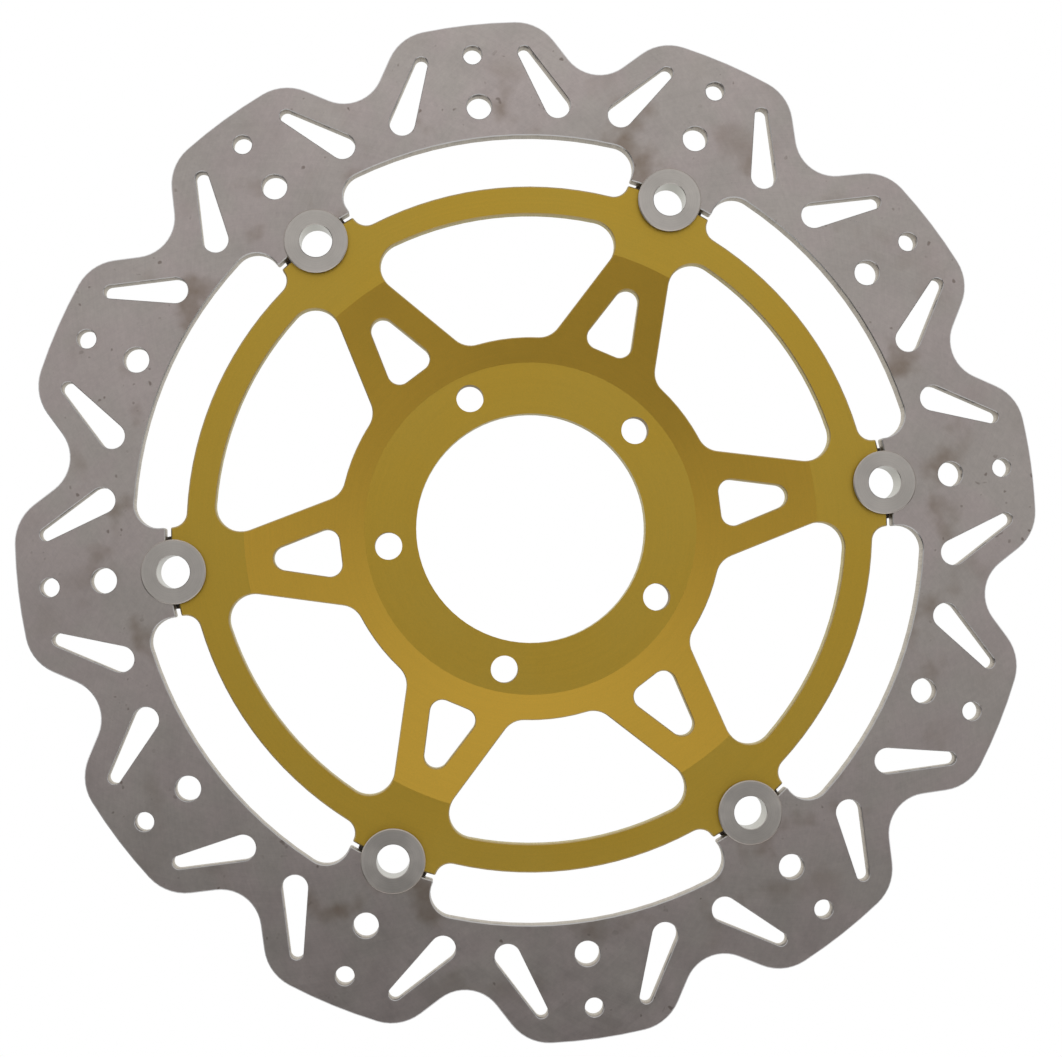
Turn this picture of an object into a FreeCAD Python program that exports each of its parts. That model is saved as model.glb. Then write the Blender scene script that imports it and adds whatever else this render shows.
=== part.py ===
import FreeCAD, Part
import math
import os

import Sketcher
from FreeCAD import Placement, Rotation, Vector

# A floating brake disc for a motorcycle. A dished alloy carrier bolts to the wheel's hub. A steel
# brake ring with petal lobes hangs on it by hollow drive buttons, and behind each button a wave
# washer, a flat washer and a circlip hold the stack together.
#
# Every piece is drawn lying down: the disc's axis is Z, the hub's mounting face is at Z 0, and the
# side that faces away from the wheel is up. The first button and the first spoke are on +X. The
# pieces' placements then stand the disc upright, with its axis along Y and the outer side at -Y.

# name, value in millimetres, degrees or pieces, what it is
SIZES = [
    ("outer_radius", 154.0, "crest of the lobes"),
    ("ring_inner_radius", 119.1, "inner edge of the brake ring between its lugs"),
    ("ring_thickness", 5.0, "brake ring"),
    ("ring_back", 10.1, "height of the ring's rear face over the hub's mounting face"),
    ("lobes", 12, "lobes round the ring"),
    ("valley_apex_radius", 134.65, "where the two flanks of a valley would meet"),
    ("valley_flank_angle", 45.8, "flank of a valley to the valley's radius"),
    ("valley_round", 12.0, "radius at the bottom of a valley"),
    ("crest_round", 14.4, "radius where a flank meets the crest"),
    ("outer_holes_radius", 144.6, "circle of the small holes and the slots' narrow ends"),
    ("inner_holes_radius", 128.6, "circle of the large holes and the slots' wide ends"),
    ("small_hole_radius", 2.85, "vent hole near the crest"),
    ("large_hole_radius", 3.8, "vent hole near the lug"),
    ("slot_narrow_round", 2.0, "narrow end of a slot"),
    ("slot_wide_round", 3.9, "wide end of a slot"),
    ("slot_narrow_angle", 6.27, "narrow end to the lobe's centreline"),
    ("slot_wide_angle", 10.65, "wide end to the lobe's centreline"),
    ("ring_edge_break", 0.3, "edge break of the ring's outlines"),
    ("vent_edge_break", 0.2, "edge break of the ring's holes and slots"),
    ("buttons", 6, "drive buttons, lugs and spokes"),
    ("button_circle_radius", 108.0, "circle of the button centres"),
    ("ring_lug_radius", 109.7, "end of a ring lug"),
    ("ring_lug_half_width", 13.45, "ring lug"),
    ("ring_lug_round", 7.2, "where a ring lug runs into the ring"),
    ("ring_lug_corner", 0.6, "corner at the end of a ring lug"),
    ("carrier_rim_radius", 103.55, "rim of the carrier between its lugs"),
    ("carrier_lug_radius", 108.1, "end of a carrier lug"),
    ("carrier_lug_half_width", 13.3, "carrier lug"),
    ("carrier_lug_round", 4.5, "where a carrier lug runs into the rim"),
    ("carrier_lug_corner", 0.5, "corner at the end of a carrier lug"),
    ("rim_back", 10.4, "height of the rim's rear face"),
    ("rim_front", 14.5, "height of the rim's front face"),
    ("rim_crease_front", 86.5, "radius where the front cone starts"),
    ("rim_crease_back", 86.2, "radius where the rear cone starts"),
    ("hub_plate", 5.2, "thickness of the flat hub plate"),
    ("hub_crease_front", 51.0, "radius of the hub plate in front"),
    ("hub_crease_back", 50.0, "radius of the hub's mounting face"),
    ("bore_radius", 35.25, "centre bore that locates the disc on the wheel"),
    ("bolts", 5, "hub bolts"),
    ("bolt_circle_radius", 44.0, "circle of the hub bolts"),
    ("bolt_hole_radius", 4.2, "clearance hole for an 8 mm bolt"),
    ("window_inner_radius", 58.6, "big window, hub side"),
    ("window_outer_radius", 95.1, "big window, rim side"),
    ("window_flank_offset", 31.15, "distance of a window's flank from the axis"),
    ("window_flank_angle", 45.0, "flank to the window's centreline"),
    ("window_outer_round", 7.5, "outer corners of a big window"),
    ("window_inner_round", 7.2, "inner corners of a big window"),
    ("eye_base_radius", 58.5, "flat side of the small window in a spoke"),
    ("eye_base_half_width", 8.3, "small window, measured to its sharp corners"),
    ("eye_apex_radius", 88.4, "where the small window's two long sides would meet"),
    ("eye_round", 3.65, "corners of a small window"),
    ("rim_edge_break", 0.4, "edge break of the carrier's rim and lugs"),
    ("window_edge_break", 0.3, "edge break of the carrier's windows"),
    ("shank_radius", 7.0, "body of a drive button"),
    ("ring_notch_radius", 7.05, "seat for the shank in a ring lug"),
    ("carrier_notch_radius", 7.1, "seat for the shank in a carrier lug"),
    ("flange_radius", 9.65, "front flange of a button"),
    ("flange_thickness", 0.8, "front flange of a button"),
    ("flange_gap", 0.05, "between the flange and the ring's front face"),
    ("button_bore_radius", 4.95, "hole through a button"),
    ("button_end", 6.35, "height of a button's rear end"),
    ("shank_chamfer", 0.45, "rear end of a button"),
    ("flange_chamfer", 0.3, "rim of a flange"),
    ("bore_chamfer", 0.2, "both ends of a button's bore"),
    ("groove_radius", 6.7, "floor of the circlip groove"),
    ("groove_width", 1.1, "circlip groove"),
    ("groove_back", 7.0, "height of the groove's rear wall"),
    ("circlip_thickness", 1.0, "circlip"),
    ("circlip_inner_radius", 6.75, "circlip"),
    ("circlip_outer_radius", 8.6, "circlip's outline without its ears"),
    ("circlip_offset", 0.35, "centre of that outline, away from the opening"),
    ("circlip_opening", 2.6, "distance between the circlip's ends"),
    ("ear_radius", 1.75, "ear of a circlip"),
    ("ear_circle_radius", 8.5, "circle of the ear centres"),
    ("ear_angle", 19.5, "ear centre to the middle of the opening"),
    ("ear_hole_radius", 0.85, "pliers hole in an ear"),
    ("flat_washer_outer_radius", 11.0, "flat washer"),
    ("flat_washer_inner_radius", 7.1, "flat washer"),
    ("flat_washer_thickness", 1.0, "flat washer"),
    ("flat_washer_back", 8.1, "height of the flat washer's rear face"),
    ("washer_edge_break", 0.15, "edges of a flat washer"),
    ("wave_washer_outer_radius", 9.8, "wave washer"),
    ("wave_washer_inner_radius", 7.3, "wave washer"),
    ("wave_washer_thickness", 0.4, "wave washer's sheet"),
    ("wave_washer_rise", 0.45, "trough to crest of the waves"),
    ("wave_washer_back", 9.15, "height of the wave washer's troughs"),
    ("waves", 3, "waves round a wave washer"),
]

OVERSHOOT = 3.0  # how far an outline that opens to the outside runs past the edge it cuts
POINTS_PER_WAVE = 8
CENTRE = (-1, 1)  # a sketch's own origin point
HORIZONTAL_AXIS, VERTICAL_AXIS = -1, -2  # a sketch's own axes
START, END, MIDDLE = 1, 2, 3
UPRIGHT = Rotation(Vector(1, 0, 0), 90)
STEEP = 0.999  # the cosine above which an edge counts as parallel to the axis
NEAR = 0.001  # two lengths this close count as equal

doc = FreeCAD.newDocument("brake_disc")


# --- driving dimensions ---------------------------------------------------------------------------


def make_sheet():
    """The spreadsheet that holds every driving dimension under its own alias."""
    table = doc.addObject("Spreadsheet::Sheet", "sizes")
    for row, (name, value, meaning) in enumerate(SIZES, start=1):
        table.set(f"A{row}", meaning)
        table.set(f"B{row}", str(value))
        table.setAlias(f"B{row}", name)
    doc.recompute()
    return table


sheet = make_sheet()


def size(name):
    return float(sheet.get(name))


# --- sketches -------------------------------------------------------------------------------------


def part_of_origin(body, role):
    return next(feature for feature in body.Origin.OriginFeatures if feature.Role == role)


def new_body(label):
    body = doc.addObject("PartDesign::Body", label)
    body.Label = label
    return body


def new_sketch(body, name, plane="XY_Plane", height=None, turn=None):
    """A sketch on one of the body's planes, raised by a named height and turned by an angle."""
    sketch = body.newObject("Sketcher::SketchObject", name)
    sketch.AttachmentSupport = [(part_of_origin(body, plane), "")]
    sketch.MapMode = "FlatFace"
    if height:
        sketch.setExpression("AttachmentOffset.Base.z", height)
    if turn:
        sketch.AttachmentOffset = Placement(Vector(), Rotation(Vector(0, 0, 1), turn))
    return sketch


def bind(sketch, kind, references, value, rule):
    """Add a dimension to a sketch and tie it to a rule over the spreadsheet."""
    number = sketch.addConstraint(Sketcher.Constraint(kind, *references, value))
    sketch.setExpression(f"Constraints[{number}]", rule)


def draw_circle(sketch, x, y, radius, x_rule=None, y_rule=None):
    """A circle whose radius is a named size, on the origin or at a bound place."""
    circle = sketch.addGeometry(Part.Circle(Vector(x, y, 0), Vector(0, 0, 1), size(radius)))
    bind(sketch, "Radius", (circle,), size(radius), f"sizes.{radius}")
    if not x_rule and not y_rule:
        sketch.addConstraint(Sketcher.Constraint("Coincident", circle, MIDDLE, *CENTRE))
        return
    place_point(sketch, (circle, MIDDLE), (x, y), (x_rule, y_rule))


def place_point(sketch, point, place, rules):
    """Bind a point's two coordinates, or put it on a sketch axis where there is no rule."""
    kinds = (("DistanceX", VERTICAL_AXIS), ("DistanceY", HORIZONTAL_AXIS))
    for (kind, axis), value, rule in zip(kinds, place, rules):
        if rule:
            bind(sketch, kind, (*CENTRE, *point), value, rule)
        else:
            sketch.addConstraint(Sketcher.Constraint("PointOnObject", *point, axis))


def draw_polygon(sketch, corners):
    """A closed polygon. Each corner is (x, y, x rule, y rule), and a rule of None means on the axis."""
    places = [Vector(x, y, 0) for x, y, _, _ in corners]
    count = len(places)
    first = sketch.GeometryCount
    for index in range(count):
        sketch.addGeometry(Part.LineSegment(places[index], places[(index + 1) % count]))
    for index, (x, y, x_rule, y_rule) in enumerate(corners):
        line = first + index
        before = first + (index - 1) % count
        sketch.addConstraint(Sketcher.Constraint("Coincident", before, END, line, START))
        place_point(sketch, (line, START), (x, y), (x_rule, y_rule))


def draw_sector(sketch, inner, outer, offset, angle):
    """An area between two arcs about the axis and two flanks, mirrored about the sketch's Y axis.

    Each bound is (value, rule). A flank lies at the offset from the axis and leans out by the angle.
    """
    lean = math.radians(angle[0])
    along = Vector(math.sin(lean), math.cos(lean), 0)
    across = Vector(-math.cos(lean), math.sin(lean), 0)

    def on_flank(radius):
        return along * math.sqrt(radius**2 - offset[0] ** 2) + across * offset[0]

    low, high = on_flank(inner[0]), on_flank(outer[0])
    mirrored = [Vector(-point.x, point.y, 0) for point in (low, high)]
    right = sketch.addGeometry(Part.LineSegment(low, high))
    left = sketch.addGeometry(Part.LineSegment(mirrored[1], mirrored[0]))
    arcs = []
    for (radius, rule), corner in ((outer, high), (inner, low)):
        start = math.atan2(corner.y, corner.x)
        circle = Part.Circle(Vector(), Vector(0, 0, 1), radius)
        arc = sketch.addGeometry(Part.ArcOfCircle(circle, start, math.pi - start))
        sketch.addConstraint(Sketcher.Constraint("Coincident", arc, MIDDLE, *CENTRE))
        bind(sketch, "Radius", (arc,), radius, rule)
        sketch.addConstraint(Sketcher.Constraint("Symmetric", arc, START, arc, END, VERTICAL_AXIS))
        arcs.append(arc)
    joints = (
        (right, END, arcs[0], START),
        (left, START, arcs[0], END),
        (right, START, arcs[1], START),
        (left, END, arcs[1], END),
    )
    for ends in joints:
        sketch.addConstraint(Sketcher.Constraint("Coincident", *ends))
    bind(sketch, "Distance", (*CENTRE, right), offset[0], offset[1])
    bind(sketch, "Angle", (right,), math.pi / 2 - lean, f"90 deg - ({angle[1]}) * 1 deg")


def draw_slot(sketch, side):
    """A tapered slot: a narrow outer arc and a wide inner arc joined by two tangent lines."""
    ends = []
    for place in ("narrow", "wide"):
        radius = "outer_holes_radius" if place == "narrow" else "inner_holes_radius"
        angle = math.radians(size(f"slot_{place}_angle"))
        centre = Vector(side * size(radius) * math.sin(angle), size(radius) * math.cos(angle), 0)
        ends.append((centre, f"slot_{place}_round", f"sizes.{radius}", f"sizes.slot_{place}_angle"))
    (outer, narrow, _, _), (inner, wide, _, _) = ends
    axis = outer - inner
    lean = math.acos((size(wide) - size(narrow)) / axis.Length)
    heading = math.atan2(axis.y, axis.x)
    arcs = []
    for centre, round_name, radius_rule, angle_rule in ends:
        start, stop = heading - lean, heading + lean
        if round_name == wide:
            start, stop = stop, start + 2 * math.pi
        circle = Part.Circle(centre, Vector(0, 0, 1), size(round_name))
        arc = sketch.addGeometry(Part.ArcOfCircle(circle, start, stop))
        bind(sketch, "Radius", (arc,), size(round_name), f"sizes.{round_name}")
        x_rule = f"{side} * {radius_rule} * sin({angle_rule} * 1 deg)"
        y_rule = f"{radius_rule} * cos({angle_rule} * 1 deg)"
        place_point(sketch, (arc, MIDDLE), (centre.x, centre.y), (x_rule, y_rule))
        arcs.append(arc)
    narrow_arc, wide_arc = arcs
    for from_arc, from_end, to_arc, to_end in (
        (narrow_arc, END, wide_arc, START),
        (wide_arc, END, narrow_arc, START),
    ):
        points = [sketch.getPoint(from_arc, from_end), sketch.getPoint(to_arc, to_end)]
        line = sketch.addGeometry(Part.LineSegment(*points))
        sketch.addConstraint(Sketcher.Constraint("Tangent", from_arc, from_end, line, START))
        sketch.addConstraint(Sketcher.Constraint("Tangent", line, END, to_arc, to_end))


# --- features -------------------------------------------------------------------------------------


def pad(body, sketch, length_rule):
    feature = body.newObject("PartDesign::Pad", f"{sketch.Name}_pad")
    feature.Profile = sketch
    feature.setExpression("Length", length_rule)
    doc.recompute()
    return feature


def cut_through(body, sketch, copies=None):
    """Cut a sketch upwards through all of the body, once or in equal steps round the axis."""
    before = body.Shape.Volume
    feature = body.newObject("PartDesign::Pocket", f"{sketch.Name}_pocket")
    feature.Profile = sketch
    feature.Type = "ThroughAll"
    feature.Reversed = True
    doc.recompute()
    if copies:
        feature = repeat_round_axis(body, feature, copies)
    if body.Shape.Volume >= before:
        raise RuntimeError(f"{feature.Label} cuts nothing")
    return feature


def repeat_round_axis(body, original, copies):
    pattern = body.newObject("PartDesign::PolarPattern", f"{original.Name}_pattern")
    pattern.Originals = [original]
    pattern.Axis = (part_of_origin(body, "Z_Axis"), [""])
    pattern.Angle = 360
    pattern.setExpression("Occurrences", copies)
    body.Tip = pattern
    doc.recompute()
    return pattern


def turn_profile(body, sketch, kind="Revolution"):
    feature = body.newObject(f"PartDesign::{kind}", f"{sketch.Name}_{kind.lower()}")
    feature.Profile = sketch
    feature.ReferenceAxis = (sketch, ["V_Axis"])
    feature.Angle = 360
    doc.recompute()
    return feature


def groove(body, name, corners):
    """Turn away the polygon of a half section all round the axis."""
    before = body.Shape.Volume
    sketch = new_sketch(body, name, plane="XZ_Plane")
    draw_polygon(sketch, corners)
    turn_profile(body, sketch, "Groove")
    if body.Shape.Volume >= before:
        raise RuntimeError(f"{name} cuts nothing")


def dress_edges(body, kind, name, edges, radius_name):
    """Round or chamfer the given edges of the body's tip."""
    base = body.Tip
    before = body.Shape.Volume
    feature = body.newObject(f"PartDesign::{kind}", name)
    feature.Base = (base, edges)
    feature.setExpression("Radius" if kind == "Fillet" else "Size", f"sizes.{radius_name}")
    doc.recompute()
    if abs(body.Shape.Volume - before) < NEAR:
        raise RuntimeError(f"{name} changes nothing")
    return feature


def near(first, second):
    return abs(first - second) < NEAR


def radius_of(point):
    return math.hypot(point.x, point.y)


def middle_radius(edge):
    return radius_of(edge.valueAt((edge.FirstParameter + edge.LastParameter) / 2))


def is_level(shape, height):
    """True for an edge or a face that lies flat at one height."""
    return near(shape.BoundBox.ZMin, height) and near(shape.BoundBox.ZMax, height)


def is_upright(edge):
    run = edge.Vertexes[-1].Point - edge.Vertexes[0].Point
    return run.Length > NEAR and abs(run.z) > STEEP * run.Length


def is_circle(edge, radius):
    return isinstance(edge.Curve, Part.Circle) and near(edge.Curve.Radius, radius)


def edges_where(body, wanted):
    """Names of the tip's edges that pass a test."""
    edges = enumerate(body.Tip.Shape.Edges, start=1)
    return [f"Edge{number}" for number, edge in edges if wanted(edge)]


def upright_edges(body, radius):
    """Names of the tip's edges that are parallel to the axis and lie at the given radius."""
    return edges_where(body, lambda edge: is_upright(edge) and near(middle_radius(edge), radius))


def outline_edges(body, height, inside, outside):
    """Names of the tip's edges at one height whose middle lies between two radii."""
    return edges_where(
        body, lambda edge: is_level(edge, height) and inside < middle_radius(edge) < outside
    )


def round_edges(body, height, radius):
    """Names of the tip's full circles at one height and radius."""
    return edges_where(body, lambda edge: is_circle(edge, radius) and is_level(edge, height))


# --- brake ring -----------------------------------------------------------------------------------


def cut_valleys(body):
    """The V-shaped valleys between the lobes, rounded at the bottom and where they meet the crest."""
    apex = size("valley_apex_radius")
    lean = math.tan(math.radians(size("valley_flank_angle")))
    top = size("outer_radius") + OVERSHOOT
    half = (top - apex) * lean
    top_rule = f"(sizes.outer_radius + {OVERSHOOT})"
    half_rule = f"({top_rule} - sizes.valley_apex_radius) * tan(sizes.valley_flank_angle * 1 deg)"
    sketch = new_sketch(body, "valley", turn=-180 / size("lobes"))
    corners = [
        (0, apex, None, "sizes.valley_apex_radius"),
        (half, top, half_rule, top_rule),
        (-half, top, f"-{half_rule}", top_rule),
    ]
    draw_polygon(sketch, corners)
    cut_through(body, sketch, "sizes.lobes")
    dress_edges(body, "Fillet", "valley_bottoms", upright_edges(body, apex), "valley_round")
    crests = upright_edges(body, size("outer_radius"))
    dress_edges(body, "Fillet", "crest_shoulders", crests, "crest_round")


def cut_ring_gaps(body):
    """The openings inside the ring between its lugs."""
    lug, edge = size("ring_lug_radius"), size("ring_inner_radius")
    width = size("ring_lug_half_width")
    sketch = new_sketch(body, "ring_gap")
    draw_sector(
        sketch,
        inner=(lug - OVERSHOOT, f"sizes.ring_lug_radius - {OVERSHOOT}"),
        outer=(edge, "sizes.ring_inner_radius"),
        offset=(width, "sizes.ring_lug_half_width"),
        angle=(180 / size("buttons"), "180 / sizes.buttons"),
    )
    cut_through(body, sketch, "sizes.buttons")
    dress_edges(body, "Fillet", "ring_lug_roots", upright_edges(body, edge), "ring_lug_round")
    dress_edges(body, "Fillet", "ring_lug_ends", upright_edges(body, lug), "ring_lug_corner")


def cut_vents(body):
    """Two round holes and two tapered slots on every lobe."""
    sketch = new_sketch(body, "vents")
    holes = {"small_hole_radius": "outer_holes_radius", "large_hole_radius": "inner_holes_radius"}
    for hole, circle in holes.items():
        draw_circle(sketch, 0, size(circle), hole, y_rule=f"sizes.{circle}")
    for side in (-1, 1):
        draw_slot(sketch, side)
    cut_through(body, sketch, "sizes.lobes")


def cut_notches(body, radius_name):
    """The seats for the drive buttons."""
    sketch = new_sketch(body, f"{body.Name}_notch")
    x = size("button_circle_radius")
    draw_circle(sketch, x, 0, radius_name, x_rule="sizes.button_circle_radius")
    cut_through(body, sketch, "sizes.buttons")


def make_brake_ring():
    body = new_body("brake_ring")
    sketch = new_sketch(body, "ring_blank", height="sizes.ring_back")
    draw_circle(sketch, 0, 0, "outer_radius")
    draw_circle(sketch, 0, 0, "ring_lug_radius")
    pad(body, sketch, "sizes.ring_thickness")
    cut_valleys(body)
    cut_ring_gaps(body)
    faces = (size("ring_back"), size("ring_back") + size("ring_thickness"))
    outlines = [name for z in faces for name in outline_edges(body, z, 0, math.inf)]
    dress_edges(body, "Chamfer", "ring_outlines", outlines, "ring_edge_break")
    cut_vents(body)
    rims = [name for z in faces for name in vent_edges(body, z)]
    dress_edges(body, "Chamfer", "vent_rims", rims, "vent_edge_break")
    cut_notches(body, "ring_notch_radius")
    return body


def vent_edges(body, height):
    """Names of the edges round the holes and slots: the wires that don't go round the axis."""
    faces = [face for face in body.Tip.Shape.Faces if is_level(face, height)]
    wires = [wire for face in faces for wire in face.Wires]
    vents = [wire for wire in wires if radius_of(wire.BoundBox.Center) > size("ring_inner_radius")]
    round_vents = [edge for wire in vents for edge in wire.Edges]
    return edges_where(body, lambda edge: any(edge.isSame(other) for other in round_vents))


# --- carrier --------------------------------------------------------------------------------------


def hollow_front(body):
    """The dish in front: down to the hub plate, then up a cone to the flat rim."""
    top = size("rim_front") + OVERSHOOT
    top_rule = f"sizes.rim_front + {OVERSHOOT}"
    corners = [
        (0, size("hub_plate"), None, "sizes.hub_plate"),
        (size("hub_crease_front"), size("hub_plate"), "sizes.hub_crease_front", "sizes.hub_plate"),
        (size("rim_crease_front"), size("rim_front"), "sizes.rim_crease_front", "sizes.rim_front"),
        (size("rim_crease_front"), top, "sizes.rim_crease_front", top_rule),
        (0, top, None, top_rule),
    ]
    groove(body, "front_dish", corners)


def relieve_back(body):
    """The space behind the cone and the rim, outside the hub's mounting face."""
    outside = size("carrier_lug_radius") + OVERSHOOT
    outside_rule = f"sizes.carrier_lug_radius + {OVERSHOOT}"
    below_rule = f"-{OVERSHOOT}"
    corners = [
        (size("hub_crease_back"), -OVERSHOOT, "sizes.hub_crease_back", below_rule),
        (size("hub_crease_back"), 0, "sizes.hub_crease_back", None),
        (size("rim_crease_back"), size("rim_back"), "sizes.rim_crease_back", "sizes.rim_back"),
        (outside, size("rim_back"), outside_rule, "sizes.rim_back"),
        (outside, -OVERSHOOT, outside_rule, below_rule),
    ]
    groove(body, "back_relief", corners)


def cut_rim_gaps(body):
    """The rim steps in between the carrier's lugs."""
    rim, lug = size("carrier_rim_radius"), size("carrier_lug_radius")
    width = size("carrier_lug_half_width")
    sketch = new_sketch(body, "rim_gap")
    draw_sector(
        sketch,
        inner=(rim, "sizes.carrier_rim_radius"),
        outer=(lug + OVERSHOOT, f"sizes.carrier_lug_radius + {OVERSHOOT}"),
        offset=(width, "sizes.carrier_lug_half_width"),
        angle=(180 / size("buttons"), "180 / sizes.buttons"),
    )
    cut_through(body, sketch, "sizes.buttons")
    dress_edges(body, "Fillet", "carrier_lug_roots", upright_edges(body, rim), "carrier_lug_round")
    dress_edges(body, "Fillet", "carrier_lug_ends", upright_edges(body, lug), "carrier_lug_corner")


def cut_windows(body):
    """The big windows between the spokes."""
    inner, outer = size("window_inner_radius"), size("window_outer_radius")
    sketch = new_sketch(body, "window")
    draw_sector(
        sketch,
        inner=(inner, "sizes.window_inner_radius"),
        outer=(outer, "sizes.window_outer_radius"),
        offset=(size("window_flank_offset"), "sizes.window_flank_offset"),
        angle=(size("window_flank_angle"), "sizes.window_flank_angle"),
    )
    cut_through(body, sketch, "sizes.buttons")
    dress_edges(body, "Fillet", "window_outer_corners", upright_edges(body, outer), "window_outer_round")
    dress_edges(body, "Fillet", "window_inner_corners", upright_edges(body, inner), "window_inner_round")


def cut_eyes(body):
    """The small triangular window in every spoke."""
    base, half, apex = size("eye_base_radius"), size("eye_base_half_width"), size("eye_apex_radius")
    sketch = new_sketch(body, "eye")
    corners = [
        (base, -half, "sizes.eye_base_radius", "-sizes.eye_base_half_width"),
        (apex, 0, "sizes.eye_apex_radius", None),
        (base, half, "sizes.eye_base_radius", "sizes.eye_base_half_width"),
    ]
    draw_polygon(sketch, corners)
    cut_through(body, sketch, "sizes.buttons")
    corner_edges = upright_edges(body, apex) + upright_edges(body, math.hypot(base, half))
    dress_edges(body, "Fillet", "eye_corners", corner_edges, "eye_round")


def drill_bolt_holes(body):
    sketch = new_sketch(body, "bolt_hole")
    x = -size("bolt_circle_radius")
    draw_circle(sketch, x, 0, "bolt_hole_radius", x_rule="-sizes.bolt_circle_radius")
    cut_through(body, sketch, "sizes.bolts")


def make_carrier():
    body = new_body("carrier")
    sketch = new_sketch(body, "carrier_blank")
    draw_circle(sketch, 0, 0, "carrier_lug_radius")
    draw_circle(sketch, 0, 0, "bore_radius")
    pad(body, sketch, "sizes.rim_front")
    cut_rim_gaps(body)
    cut_windows(body)
    cut_eyes(body)
    hollow_front(body)
    relieve_back(body)
    outside_windows = size("window_outer_radius") + NEAR
    rim = [
        name
        for z in (size("rim_back"), size("rim_front"))
        for name in outline_edges(body, z, outside_windows, math.inf)
    ]
    dress_edges(body, "Chamfer", "rim_outlines", rim, "rim_edge_break")
    dress_edges(body, "Chamfer", "window_outlines", window_edges(body), "window_edge_break")
    drill_bolt_holes(body)
    cut_notches(body, "carrier_notch_radius")
    return body


def window_edges(body):
    """Names of the edges where the walls of the windows and eyes meet the front and the back."""
    inside, outside = size("hub_crease_front"), size("window_outer_radius") + NEAR
    creases = (
        size("hub_crease_front"),
        size("hub_crease_back"),
        size("rim_crease_front"),
        size("rim_crease_back"),
    )

    def wanted(edge):
        if is_upright(edge) or any(is_circle(edge, radius) for radius in creases):
            return False
        return inside < middle_radius(edge) < outside

    return edges_where(body, wanted)


# --- one drive button and what holds it -----------------------------------------------------------


def make_drive_button(label):
    """A hollow turned button: a thin front flange, a plain shank and a circlip groove."""
    flange_back = size("ring_back") + size("ring_thickness") + size("flange_gap")
    flange_back_rule = "(sizes.ring_back + sizes.ring_thickness + sizes.flange_gap)"
    front = flange_back + size("flange_thickness")
    front_rule = f"({flange_back_rule} + sizes.flange_thickness)"
    end = (size("button_end"), "sizes.button_end")
    body = new_body(label)
    sketch = new_sketch(body, f"{label}_section", plane="XZ_Plane")
    corners = [
        (size("button_bore_radius"), end[0], "sizes.button_bore_radius", end[1]),
        (size("shank_radius"), end[0], "sizes.shank_radius", end[1]),
        (size("shank_radius"), flange_back, "sizes.shank_radius", flange_back_rule),
        (size("flange_radius"), flange_back, "sizes.flange_radius", flange_back_rule),
        (size("flange_radius"), front, "sizes.flange_radius", front_rule),
        (size("button_bore_radius"), front, "sizes.button_bore_radius", front_rule),
    ]
    draw_polygon(sketch, corners)
    turn_profile(body, sketch)
    cut_circlip_groove(body, label)
    chamfers = {
        "shank": [(end[0], "shank_radius")],
        "flange": [(front, "flange_radius")],
        "bore": [(end[0], "button_bore_radius"), (front, "button_bore_radius")],
    }
    for place, rims in chamfers.items():
        edges = [name for height, radius in rims for name in round_edges(body, height, size(radius))]
        dress_edges(body, "Chamfer", f"{label}_{place}_chamfer", edges, f"{place}_chamfer")
    return body


def cut_circlip_groove(body, label):
    floor, back = size("groove_radius"), size("groove_back")
    outside, front = size("shank_radius") + OVERSHOOT, back + size("groove_width")
    outside_rule = f"sizes.shank_radius + {OVERSHOOT}"
    front_rule = "sizes.groove_back + sizes.groove_width"
    corners = [
        (floor, back, "sizes.groove_radius", "sizes.groove_back"),
        (outside, back, outside_rule, "sizes.groove_back"),
        (outside, front, outside_rule, front_rule),
        (floor, front, "sizes.groove_radius", front_rule),
    ]
    groove(body, f"{label}_groove", corners)


def make_flat_washer(label):
    body = new_body(label)
    sketch = new_sketch(body, f"{label}_blank", height="sizes.flat_washer_back")
    draw_circle(sketch, 0, 0, "flat_washer_outer_radius")
    draw_circle(sketch, 0, 0, "flat_washer_inner_radius")
    pad(body, sketch, "sizes.flat_washer_thickness")
    back = size("flat_washer_back")
    rims = []
    for z in (back, back + size("flat_washer_thickness")):
        rims += round_edges(body, z, size("flat_washer_outer_radius"))
    dress_edges(body, "Chamfer", f"{label}_edges", rims, "washer_edge_break")
    return body


def make_circlip(label):
    """An open ring that is widest opposite its opening, with a pliers hole in each ear."""
    body = new_body(label)
    height = "sizes.groove_back + (sizes.groove_width - sizes.circlip_thickness) / 2"
    ring = new_sketch(body, f"{label}_ring", height=height)
    draw_circle(ring, size("circlip_offset"), 0, "circlip_outer_radius", x_rule="sizes.circlip_offset")
    draw_circle(ring, 0, 0, "circlip_inner_radius")
    pad(body, ring, "sizes.circlip_thickness")
    ears = new_sketch(body, f"{label}_ears", height=height)
    draw_ear_circles(ears, "ear_radius")
    pad(body, ears, "sizes.circlip_thickness")
    holes = new_sketch(body, f"{label}_holes")
    draw_circle(holes, 0, 0, "circlip_inner_radius")
    draw_ear_circles(holes, "ear_hole_radius")
    cut_through(body, holes)
    half = size("circlip_opening") / 2
    far = size("circlip_outer_radius") + OVERSHOOT
    far_rule = f"-(sizes.circlip_outer_radius + {OVERSHOOT})"
    opening = new_sketch(body, f"{label}_opening")
    corners = [
        (0, -half, None, "-sizes.circlip_opening / 2"),
        (0, half, None, "sizes.circlip_opening / 2"),
        (-far, half, far_rule, "sizes.circlip_opening / 2"),
        (-far, -half, far_rule, "-sizes.circlip_opening / 2"),
    ]
    draw_polygon(opening, corners)
    cut_through(body, opening)
    return body


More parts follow.
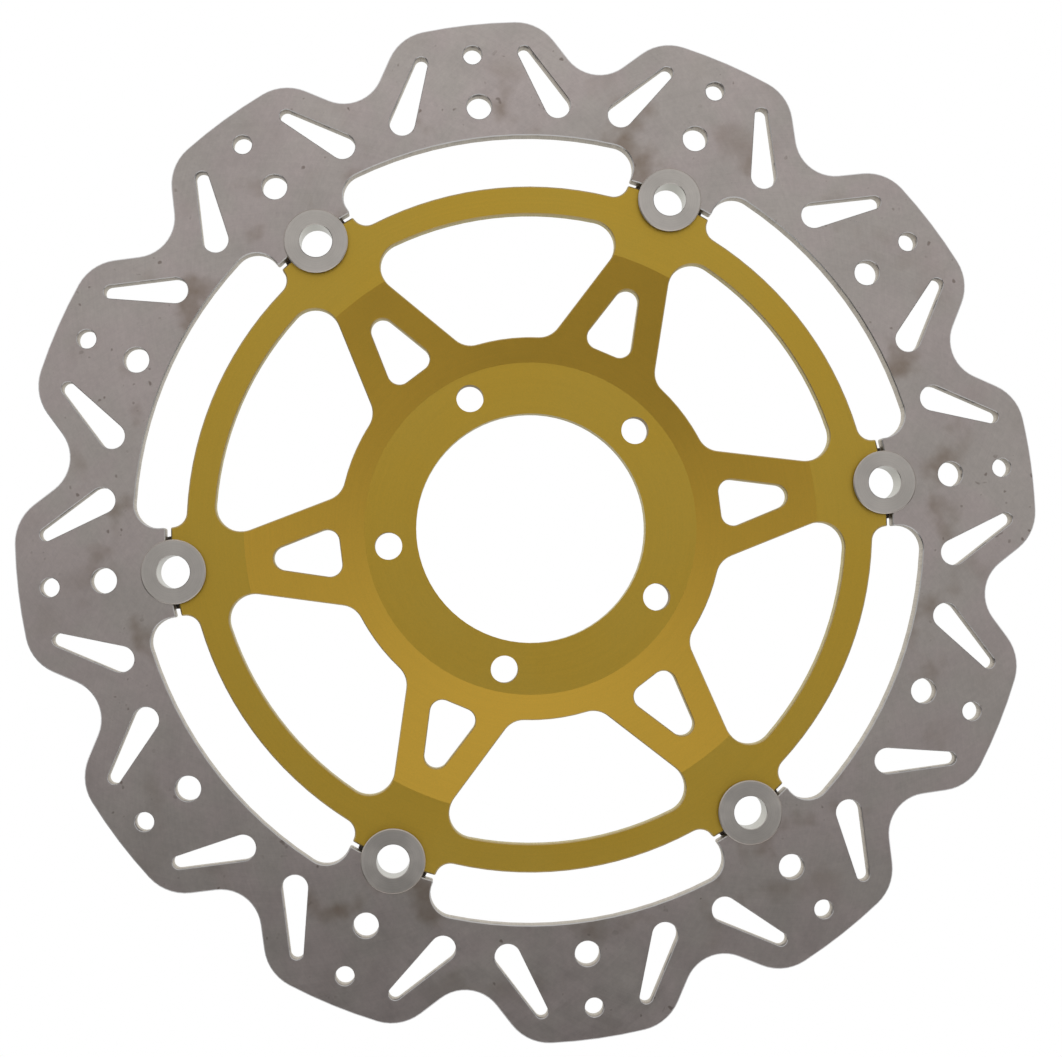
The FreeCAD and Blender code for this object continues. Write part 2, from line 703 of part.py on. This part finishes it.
def draw_ear_circles(sketch, radius_name):
    """Two circles either side of the circlip's opening, which faces -X."""
    angle, reach = math.radians(size("ear_angle")), size("ear_circle_radius")
    x_rule = "-sizes.ear_circle_radius * cos(sizes.ear_angle * 1 deg)"
    for side in (-1, 1):
        y_rule = f"{side} * sizes.ear_circle_radius * sin(sizes.ear_angle * 1 deg)"
        x, y = -reach * math.cos(angle), side * reach * math.sin(angle)
        draw_circle(sketch, x, y, radius_name, x_rule=x_rule, y_rule=y_rule)


def wavy_loop(radius, height):
    """A closed curve round the axis that rises and falls as often as the washer has waves."""
    waves, rise = int(size("waves")), size("wave_washer_rise")
    count = waves * POINTS_PER_WAVE
    points = []
    for index in range(count):
        angle = 2 * math.pi * index / count
        lift = rise * (1 - math.cos(waves * angle)) / 2
        points.append(Vector(radius * math.cos(angle), radius * math.sin(angle), height + lift))
    curve = Part.BSplineCurve()
    curve.interpolate(Points=points, PeriodicFlag=True)
    return curve.toShape()


def make_wave_washer(label):
    """A thin spring washer. Its wavy faces are ruled between closed curves, which no feature draws."""
    back = size("wave_washer_back")
    front = back + size("wave_washer_thickness")
    inner, outer = size("wave_washer_inner_radius"), size("wave_washer_outer_radius")
    corners = ((inner, back), (outer, back), (outer, front), (inner, front))
    loops = [wavy_loop(radius, height) for radius, height in corners]
    faces = [Part.makeRuledSurface(loops[n - 1], loops[n]) for n in range(len(loops))]
    shell = Part.makeShell(faces)
    shell.sewShape()
    solid = Part.makeSolid(shell)
    if solid.Volume < 0:
        solid.reverse()
    washer = doc.addObject("Part::Feature", label)
    washer.Label = label
    washer.Shape = solid
    return washer


def make_button_stack(number):
    """One drive button with its washers and circlip, standing at its place on the button circle."""
    pieces = [
        make_drive_button(f"drive_button_{number}"),
        make_wave_washer(f"wave_washer_{number}"),
        make_flat_washer(f"flat_washer_{number}"),
        make_circlip(f"circlip_{number}"),
    ]
    turn = Rotation(Vector(0, 0, 1), (number - 1) * 360 / size("buttons"))
    place = turn.multVec(Vector(size("button_circle_radius"), 0, 0))
    for piece in pieces:
        piece.Placement = Placement(UPRIGHT.multVec(place), UPRIGHT.multiply(turn))
    return pieces


# --- the whole disc -------------------------------------------------------------------------------


def check(pieces):
    """Stop before anything is written if an object failed or a piece has no sound shape."""
    for item in doc.Objects:
        if "Invalid" in item.State or "Error" in item.State:
            raise RuntimeError(f"{item.Label} failed to build")
    for piece in pieces:
        shape = piece.Shape
        if shape.isNull() or not shape.isValid() or len(shape.Solids) != 1:
            raise RuntimeError(f"{piece.Label} isn't one sound solid")


def main():
    ring, carrier = make_brake_ring(), make_carrier()
    for plate in (ring, carrier):
        plate.Placement = Placement(Vector(), UPRIGHT)
    pieces = [ring, carrier]
    for number in range(1, int(size("buttons")) + 1):
        pieces += make_button_stack(number)
    doc.recompute()
    check(pieces)
    os.makedirs("parts", exist_ok=True)
    for piece in pieces:
        piece.Shape.exportStep(f"parts/{piece.Label}.step")
        box = piece.Shape.BoundBox
        print(f"{piece.Label}: {piece.Shape.Volume:.1f} mm3, Y {box.YMin:.2f} to {box.YMax:.2f}")


main()
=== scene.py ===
import math

import bpy
from mathutils import Matrix, Vector


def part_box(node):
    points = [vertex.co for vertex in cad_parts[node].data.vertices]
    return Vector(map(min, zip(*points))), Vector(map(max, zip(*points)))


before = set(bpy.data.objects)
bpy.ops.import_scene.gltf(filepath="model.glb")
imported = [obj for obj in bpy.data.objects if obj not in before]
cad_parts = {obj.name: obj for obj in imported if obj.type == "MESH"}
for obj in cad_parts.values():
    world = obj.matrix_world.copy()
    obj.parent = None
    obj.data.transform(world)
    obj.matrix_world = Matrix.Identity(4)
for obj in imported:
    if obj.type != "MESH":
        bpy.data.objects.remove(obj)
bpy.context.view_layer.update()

# The looks of a floating brake disc that stands upright, with its axis along Y and its outer side
# at -Y. The CAD pieces have their real shapes, so each one stays and gets a finished material.
# Lengths in the materials are in millimetres, and all other lengths are in metres.

MM_PER_M = 1000.0
RING_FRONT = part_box("brake_ring")[0].y
RING_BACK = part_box("brake_ring")[1].y
RING_MIDDLE = (RING_FRONT + RING_BACK) / 2
OUTER_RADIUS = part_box("brake_ring")[1].x

# Lengths for the materials, in millimetres.
BUTTON_WIDTH = (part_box("drive_button_1")[1].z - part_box("drive_button_1")[0].z) * MM_PER_M
BOLT_CIRCLE_RADIUS = 44.0
BOLT_HOLE_REACH = 5.5  # a wall closer than this to the bolt circle is a bolt hole's
INNER_EDGE = 119.5  # the ring's lugs and its inner edge are within this radius
VENTS_FROM = 123.0  # the ring's holes and slots are beyond this radius
OUTLINE_FROM = 139.0  # the ring's outline is beyond this radius
SMUDGED_TO = 122.0  # the ring's face is most smudged within this radius
CLEANER_FROM = 146.0  # the ring's face is least smudged beyond this radius

CONE_FACING = 0.98  # the cone faces the axis a little less squarely than this

# Colours, as linear red, green and blue.
RING_FACE_WARM = (0.615, 0.541, 0.520)
RING_FACE_COOL = (0.594, 0.541, 0.507)
RING_EDGE_HIGHLIGHT = (0.700, 0.690, 0.690)
RING_WALL = (0.510, 0.465, 0.390)
SMUDGE_BROWN = (0.330, 0.255, 0.200)
SPOT_BROWN = (0.230, 0.180, 0.150)
HEAT_BROWN = (0.270, 0.215, 0.165)
BURN_BLACK = (0.045, 0.030, 0.022)
GOLD_FACE = (0.778, 0.517, 0.073)
GOLD_FACE_PALER = (0.752, 0.513, 0.080)
GOLD_CONE_PAINTED_SHADING = (0.792, 0.508, 0.075)
GOLD_EDGE = (0.640, 0.500, 0.240)
GOLD_WALL = (0.540, 0.455, 0.215)
GOLD_BOLT_HOLE_SHADE = (0.300, 0.215, 0.080)
BUTTON_FACE = (0.690, 0.645, 0.600)
BUTTON_WALL_SHADED = (0.430, 0.418, 0.360)
SPRING_BLUE = (0.300, 0.315, 0.350)
SPRING_STRAW = (0.390, 0.345, 0.280)
WASHER_BLACK = (0.110, 0.098, 0.088)
WASHER_RUBBED = (0.200, 0.188, 0.175)
CIRCLIP_COAT = (0.060, 0.058, 0.060)
CIRCLIP_WORN = (0.230, 0.225, 0.220)


# --- materials ------------------------------------------------------------------------------------


class Net:
    """A node tree. Each call adds nodes and returns the socket that they end in."""

    def __init__(self, tree):
        self.tree = tree

    def put(self, socket, value):
        """Link an output to a socket, or set the socket to a constant."""
        if isinstance(value, bpy.types.NodeSocket):
            self.tree.links.new(value, socket)
        elif socket.type == "RGBA":
            socket.default_value = (*value, 1.0)
        else:
            socket.default_value = value

    def node(self, kind, inputs=None, **settings):
        """A node of one kind, with its settings, and links or constants for its inputs."""
        made = self.tree.nodes.new(f"ShaderNode{kind}")
        for name, value in settings.items():
            setattr(made, name, value)
        for key, value in (inputs or {}).items():
            self.put(made.inputs[key], value)
        return made

    def math(self, operation, *values):
        return self.node("Math", dict(enumerate(values)), operation=operation).outputs[0]

    def times(self, *values):
        product = values[0]
        for value in values[1:]:
            product = self.math("MULTIPLY", product, value)
        return product

    def vector(self, operation, *values):
        made = self.node("VectorMath", dict(enumerate(values)), operation=operation)
        return made.outputs["Value" if operation in ("LENGTH", "DOT_PRODUCT") else "Vector"]

    def scaled(self, vector, factor):
        made = self.node("VectorMath", {0: vector, "Scale": factor}, operation="SCALE")
        return made.outputs["Vector"]

    def moved(self, vector, x, y, z):
        """The place shifted, so that two noises that start alike come out different."""
        return self.vector("ADD", vector, (x, y, z))

    def join(self, x=0.0, y=0.0, z=0.0):
        return self.node("CombineXYZ", {"X": x, "Y": y, "Z": z}).outputs["Vector"]

    def split(self, vector):
        return self.node("SeparateXYZ", {"Vector": vector}).outputs

    def step(self, value, low, high, start=0.0, stop=1.0):
        """A smooth step from start to stop as the value goes from low to high."""
        inputs = {"Value": value, "From Min": low, "From Max": high, "To Min": start, "To Max": stop}
        return self.node("MapRange", inputs, interpolation_type="SMOOTHSTEP").outputs["Result"]

    def mix(self, factor, first, second):
        return self.node("Mix", {0: factor, 2: first, 3: second}).outputs[0]


class Paint(Net):
    """A material with its node tree, and the patterns that its finish is made of."""

    def __init__(self, name, metallic=1.0, anisotropic=0.0):
        self.material = bpy.data.materials.new(name)
        self.material.use_nodes = True
        super().__init__(self.material.node_tree)
        self.surface = self.tree.nodes["Principled BSDF"]
        self.surface.inputs["Metallic"].default_value = metallic
        self.surface.inputs["Anisotropic"].default_value = anisotropic

    def place(self):
        """The place on the object, in millimetres."""
        return self.scaled(self.node("TexCoord").outputs["Object"], MM_PER_M)

    def flat(self, place):
        """The place without its depth."""
        return self.vector("MULTIPLY", place, (1.0, 0.0, 1.0))

    def noise(self, vector, grain, detail=2.0, rough=0.5):
        """Smooth noise whose patches are about grain millimetres wide."""
        inputs = {"Vector": vector, "Scale": 1.0 / grain, "Detail": detail, "Roughness": rough}
        return self.node("TexNoise", inputs).outputs["Fac"]

    def spread(self, value, low, high):
        """Noise, which is mostly between 0.3 and 0.7, spread to run from low to high."""
        inputs = {"Value": value, "From Min": 0.3, "From Max": 0.7, "To Min": low, "To Max": high}
        return self.node("MapRange", inputs).outputs["Result"]

    def blend(self, factor, first, second):
        return self.node("Mix", {0: factor, 6: first, 7: second}, data_type="RGBA").outputs[2]

    def shade(self, colour, amount):
        """A colour made darker or lighter all over by a factor."""
        return self.scaled(colour, amount)

    def facing(self):
        """How squarely the surface faces along the axis: 1 if flat, 0.7 on an edge break, 0 on a wall."""
        normal = self.node("NewGeometry").outputs["Normal"]
        return self.math("ABSOLUTE", self.split(normal)[1])

    def bump(self, height, depth, normal=None):
        """A height from 0 to 1 made into relief that is depth millimetres deep."""
        inputs = {"Height": height, "Distance": depth / MM_PER_M}
        if normal:
            inputs["Normal"] = normal
        return self.node("Bump", inputs).outputs["Normal"]

    def finish(self, colour, roughness, normal):
        self.put(self.surface.inputs["Base Color"], colour)
        self.put(self.surface.inputs["Roughness"], roughness)
        self.put(self.surface.inputs["Normal"], normal)
        return self.material


def crossing_marks(paint, flat, lean, width, length):
    """Fine marks that sweep over a disc in arcs, which lean away from its radius by lean per metre."""
    radius = paint.vector("LENGTH", flat)
    heading = paint.vector("NORMALIZE", flat)
    angle = paint.times(radius, lean / MM_PER_M)
    turned = paint.node("VectorRotate", {"Vector": heading, "Angle": angle}, rotation_type="Y_AXIS")
    around = paint.scaled(turned.outputs["Vector"], OUTER_RADIUS * MM_PER_M * length / width)
    along = paint.join(y=radius)
    return paint.noise(paint.vector("ADD", around, along), length, detail=3.0, rough=0.6)


def cut_lines(paint, place, width):
    """Lines that run straight through a plate along a cut wall."""
    return paint.noise(paint.flat(place), width, detail=2.0)


def ring_steel():
    """Ground stainless steel: crossing marks, cloudy patches, brown smudges, laser-cut walls and a
    painted edge highlight.
    """
    paint = Paint("ring_steel")
    place = paint.place()
    flat = paint.flat(place)
    radius = paint.vector("LENGTH", flat)
    marks = [crossing_marks(paint, flat, lean, width=1.0, length=14.0) for lean in (11.0, -11.0)]
    marks = paint.times(paint.math("ADD", *marks), 0.5)
    clouds = paint.noise(place, 24.0, detail=4.0)
    patches = paint.noise(paint.moved(place, 71.0, 0.0, 33.0), 6.5, detail=5.0, rough=0.65)
    grains = paint.noise(place, 1.2, detail=3.0, rough=0.7)
    face = ring_face(paint, place, radius, (clouds, patches, grains, marks))
    lines = cut_lines(paint, place, 0.45)
    wall = ring_wall(paint, place, radius, lines)

    facing = paint.facing()
    is_face = paint.step(facing, 0.45, 0.6)
    is_flat = paint.step(facing, 0.85, 0.95)
    # Painted highlight: the edge breaks are painted paler and cooler than the face, as a bright line
    # along every edge.
    edge = paint.blend(is_face, wall, RING_EDGE_HIGHLIGHT)
    colour = paint.blend(is_flat, edge, face)
    face_rough = paint.math("ADD", paint.spread(marks, 0.29, 0.37), paint.spread(patches, -0.03, 0.04))
    rough = paint.mix(is_face, 0.45, face_rough)
    return paint.finish(colour, rough, paint.bump(paint.mix(is_face, lines, marks), depth=0.006))


def ring_face(paint, place, radius, patterns):
    """The ground face: warm grey, a little uneven, with most of its brown smudges near the lugs."""
    clouds, patches, grains, marks = patterns
    warmth = paint.noise(paint.moved(place, -40.0, 9.0, 120.0), 15.0)
    face = paint.blend(paint.step(warmth, 0.35, 0.65), RING_FACE_WARM, RING_FACE_COOL)
    unevenness = ((clouds, 0.05), (patches, 0.04), (grains, 0.05), (marks, 0.05))
    tones = [paint.spread(pattern, 1.0 - depth, 1.0 + depth) for pattern, depth in unevenness]
    face = paint.shade(face, paint.times(*tones))
    near_lugs = paint.step(radius, CLEANER_FROM, SMUDGED_TO, start=0.15, stop=1.0)
    smudges = paint.noise(paint.moved(place, 152.0, 0.0, 94.0), 17.0, detail=3.0)
    smudges = paint.times(paint.step(smudges, 0.52, 0.70), paint.spread(patches, 0.45, 0.9), near_lugs)
    face = paint.blend(smudges, face, SMUDGE_BROWN)
    spots = paint.step(paint.noise(place, 2.4, detail=1.0), 0.70, 0.78)
    spots = paint.times(spots, paint.step(clouds, 0.46, 0.58, start=0.0, stop=0.7))
    return paint.blend(spots, face, SPOT_BROWN)


def ring_wall(paint, place, radius, lines):
    """A laser-cut wall: pale, with straight cut lines, and browned along the vents' front edges."""
    wall = paint.shade(RING_WALL, paint.spread(lines, 0.85, 1.1))
    behind_front = paint.math("SUBTRACT", paint.split(place)[1], RING_FRONT * MM_PER_M)
    beside_vents = paint.step(radius, INNER_EDGE, VENTS_FROM, start=0.25, stop=0.85)
    normal = paint.node("NewGeometry").outputs["Normal"]
    outward = paint.vector("DOT_PRODUCT", normal, paint.vector("NORMALIZE", paint.flat(place)))
    far_out = paint.step(radius, OUTLINE_FROM - 2.0, OUTLINE_FROM)
    on_outline = paint.times(far_out, paint.step(outward, 0.2, 0.5))
    beside_vents = paint.times(beside_vents, paint.math("SUBTRACT", 1.0, on_outline))
    heat = paint.noise(paint.flat(place), 5.0)
    browned = paint.times(beside_vents, paint.step(behind_front, 3.4, 0.4))
    browned = paint.times(browned, paint.step(heat, 0.25, 0.45, start=0.3, stop=1.0))
    wall = paint.blend(browned, wall, HEAT_BROWN)
    burns = paint.times(beside_vents, paint.step(behind_front, 3.0, 1.0))
    burns = paint.times(burns, paint.step(heat, 0.54, 0.60), paint.step(lines, 0.25, 0.5))
    return paint.blend(burns, wall, BURN_BLACK)


def carrier_gold():
    """Satin anodised aluminium: faint turning marks, pale walls, and painted shade: a redder cone, dark
    bolt holes.
    """
    paint = Paint("carrier_gold")
    place = paint.place()
    radius = paint.vector("LENGTH", paint.flat(place))
    drift = paint.times(paint.split(place)[2], 0.02)
    turning = paint.noise(paint.join(x=radius, y=drift), 0.6)
    clouds = paint.noise(place, 34.0, detail=3.0)
    grain = paint.noise(place, 0.45, detail=2.0, rough=0.7)
    facing = paint.facing()
    face = paint.blend(paint.step(clouds, 0.35, 0.65), GOLD_FACE, GOLD_FACE_PALER)
    # Painted shading: the cone gets its own redder copy of the gold, standing in for how the light falls
    # on its slope.
    is_cone = paint.step(facing, CONE_FACING + 0.005, CONE_FACING - 0.005)
    face = paint.blend(is_cone, face, GOLD_CONE_PAINTED_SHADING)
    unevenness = ((turning, 0.015), (grain, 0.04), (clouds, 0.02))
    tones = [paint.spread(pattern, 1.0 - depth, 1.0 + depth) for pattern, depth in unevenness]
    face = paint.shade(face, paint.times(*tones))
    lines = cut_lines(paint, place, 0.5)
    wall = paint.shade(GOLD_WALL, paint.spread(lines, 0.88, 1.08))
    # Painted shade: the bolt-hole walls are painted dark brown, standing in for the shade inside the
    # drilled holes.
    from_bolts = paint.math("ABSOLUTE", paint.math("SUBTRACT", radius, BOLT_CIRCLE_RADIUS))
    painted_shade_in_bolt_holes = paint.step(from_bolts, BOLT_HOLE_REACH + 0.5, BOLT_HOLE_REACH - 0.5)
    wall = paint.blend(painted_shade_in_bolt_holes, wall, GOLD_BOLT_HOLE_SHADE)

    is_edge = paint.step(facing, 0.3, 0.5)
    is_flat = paint.step(facing, 0.86, 0.94)
    edge = paint.blend(is_edge, wall, GOLD_EDGE)
    colour = paint.blend(is_flat, edge, face)
    rough = paint.math("ADD", paint.spread(grain, 0.50, 0.56), paint.spread(clouds, -0.02, 0.02))
    normal = paint.bump(paint.mix(is_edge, lines, grain), depth=0.008)
    normal = paint.bump(turning, depth=0.002, normal=normal)
    return paint.finish(colour, rough, normal)


def button_steel():
    """Fine turned steel, with walls painted darker as painted shade, and marks in circles round each
    button's axis.
    """
    paint = Paint("button_steel", anisotropic=0.7)
    tangent = paint.node("Tangent", direction_type="RADIAL", axis="Y").outputs["Tangent"]
    paint.put(paint.surface.inputs["Tangent"], tangent)
    place = paint.place()
    depth = paint.split(place)[1]
    offset = paint.vector("SUBTRACT", paint.node("TexCoord").outputs["Generated"], (0.5, 0.5, 0.5))
    across = paint.scaled(paint.flat(offset), BUTTON_WIDTH)
    radius = paint.vector("LENGTH", across)
    circles = paint.noise(paint.join(x=radius, y=depth), 0.22, detail=3.0)
    smears = paint.noise(place, 3.0, detail=3.0)
    tone = paint.times(paint.spread(circles, 0.95, 1.05), paint.spread(smears, 0.95, 1.04))
    is_face = paint.step(paint.facing(), 0.45, 0.6)
    # Painted shade: the walls, the bore among them, are painted darker than the turned face.
    colour = paint.shade(paint.blend(is_face, BUTTON_WALL_SHADED, BUTTON_FACE), tone)
    rough = paint.math("ADD", paint.spread(smears, 0.30, 0.38), paint.spread(circles, -0.02, 0.02))
    return paint.finish(colour, rough, paint.bump(circles, depth=0.003))


def spring_steel():
    """Hardened spring strip: smooth, a little blue, with straw-coloured patches."""
    paint = Paint("spring_steel")
    place = paint.place()
    patches = paint.noise(place, 5.0, detail=3.0)
    rolling = paint.noise(paint.vector("MULTIPLY", place, (0.1, 1.0, 3.0)), 0.8)
    colour = paint.blend(paint.step(patches, 0.4, 0.65), SPRING_BLUE, SPRING_STRAW)
    colour = paint.shade(colour, paint.spread(rolling, 0.93, 1.05))
    rough = paint.spread(patches, 0.26, 0.38)
    return paint.finish(colour, rough, paint.bump(rolling, depth=0.002))


def washer_steel():
    """Very dark stamped steel that was tumbled: many small dents, and paler where it rubbed."""
    paint = Paint("washer_steel")
    place = paint.place()
    dents = paint.node("TexVoronoi", {"Vector": place, "Scale": 1.4}, feature="SMOOTH_F1")
    smears = paint.noise(place, 4.0, detail=4.0)
    colour = paint.blend(paint.step(smears, 0.5, 0.72), WASHER_BLACK, WASHER_RUBBED)
    rough = paint.spread(smears, 0.40, 0.52)
    return paint.finish(colour, rough, paint.bump(dents.outputs["Distance"], depth=0.006))


def circlip_black():
    """Phosphated and oiled spring steel: a dark crystalline coat that wears grey on the edges."""
    paint = Paint("circlip_black")
    place = paint.place()
    crystals = paint.noise(place, 0.25, detail=3.0, rough=0.7)
    worn = paint.step(paint.noise(place, 2.5, detail=4.0), 0.55, 0.7)
    worn = paint.times(worn, paint.step(paint.facing(), 0.9, 0.2))
    colour = paint.blend(worn, CIRCLIP_COAT, CIRCLIP_WORN)
    colour = paint.shade(colour, paint.spread(crystals, 0.8, 1.25))
    rough = paint.spread(crystals, 0.42, 0.58)
    return paint.finish(colour, rough, paint.bump(crystals, depth=0.008))


MATERIALS = {
    "brake_ring": ring_steel,
    "carrier": carrier_gold,
    "drive_button": button_steel,
    "wave_washer": spring_steel,
    "flat_washer": washer_steel,
    "circlip": circlip_black,
}


def paint_nodes():
    """Give every CAD piece its finish. Pieces of one kind share one material."""
    for kind, make in MATERIALS.items():
        finish = make()
        for name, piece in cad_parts.items():
            if name.startswith(kind):
                piece.data.materials.clear()
                piece.data.materials.append(finish)


# --- light, floor and camera ----------------------------------------------------------------------


def add_world():
    """A studio that is bright above and dim below in front, with a bright backdrop behind the disc.

    The camera sees plain white where no object is.
    """
    world = bpy.data.worlds.new("studio")
    world.use_nodes = True
    bpy.context.scene.world = world
    background = world.node_tree.nodes["Background"]
    background.inputs["Color"].default_value = (1.0, 1.0, 1.0, 1.0)
    net = Net(world.node_tree)
    heading = net.node("TexCoord").outputs["Generated"]
    lean = math.radians(12.0)
    height = net.vector("DOT_PRODUCT", heading, (math.sin(lean), 0.0, math.cos(lean)))
    front = net.step(height, -0.37, 0.10, start=0.03, stop=0.54)
    back = net.step(height, -0.9, 0.2, start=0.35, stop=0.98)
    depth = net.split(heading)[1]
    around = net.mix(net.step(depth, -0.25, 0.25), front, back)
    seen = net.mix(net.node("LightPath").outputs["Is Camera Ray"], around, 1.0)
    net.put(background.inputs["Strength"], seen)


def add_soft_light(name, place, width, watts):
    """A square softbox that faces the disc's centre."""
    light = bpy.data.lights.new(name, "AREA")
    light.shape = "SQUARE"
    light.size = width
    light.energy = watts
    lamp = bpy.data.objects.new(name, light)
    bpy.context.scene.collection.objects.link(lamp)
    lamp.location = place
    lamp.rotation_euler = (-Vector(place)).to_track_quat("-Z", "Y").to_euler()


def add_floor():
    """A round pale floor, far enough below the disc to stay out of the front view."""
    drop, radius, sides = 1.5, 2.0, 128
    points = [
        (radius * math.cos(2 * math.pi * n / sides), radius * math.sin(2 * math.pi * n / sides), -drop)
        for n in range(sides)
    ]
    mesh = bpy.data.meshes.new("floor")
    mesh.from_pydata(points, [], [list(range(sides))])
    floor = bpy.data.objects.new("floor", mesh)
    bpy.context.scene.collection.objects.link(floor)
    paint = Paint("floor_white", metallic=0.0)
    paint.put(paint.surface.inputs["Base Color"], (0.9, 0.9, 0.9))
    paint.surface.inputs["Roughness"].default_value = 0.8
    mesh.materials.append(paint.material)


def add_camera():
    """A camera near the disc's axis, a little low and to the left, that leans to one side."""
    aim = Vector((-0.0005, RING_MIDDLE, -0.0004))
    distance = 0.5326
    azimuth, elevation, roll = math.radians(-3.18), math.radians(-1.99), math.radians(7.3)
    away = Vector(
        (
            math.sin(azimuth) * math.cos(elevation),
            -math.cos(azimuth) * math.cos(elevation),
            math.sin(elevation),
        )
    )
    level = (-away).cross(Vector((0, 0, 1))).normalized()
    up = level.cross(-away) * math.cos(roll) + level * math.sin(roll)
    right = (-away).cross(up)
    camera = bpy.data.objects.new("camera", bpy.data.cameras.new("camera"))
    camera.data.sensor_width = 36.0
    camera.data.lens = 59.7
    camera.matrix_world = Matrix.Translation(aim + away * distance) @ Matrix(
        (right, up, away)
    ).transposed().to_4x4()
    bpy.context.scene.collection.objects.link(camera)
    bpy.context.scene.camera = camera


paint_nodes()
add_world()
add_soft_light("key", place=(0.3, -1.1, 1.3), width=1.2, watts=2.0)
add_floor()
add_camera()
bpy.context.scene.view_settings.view_transform = "Standard"
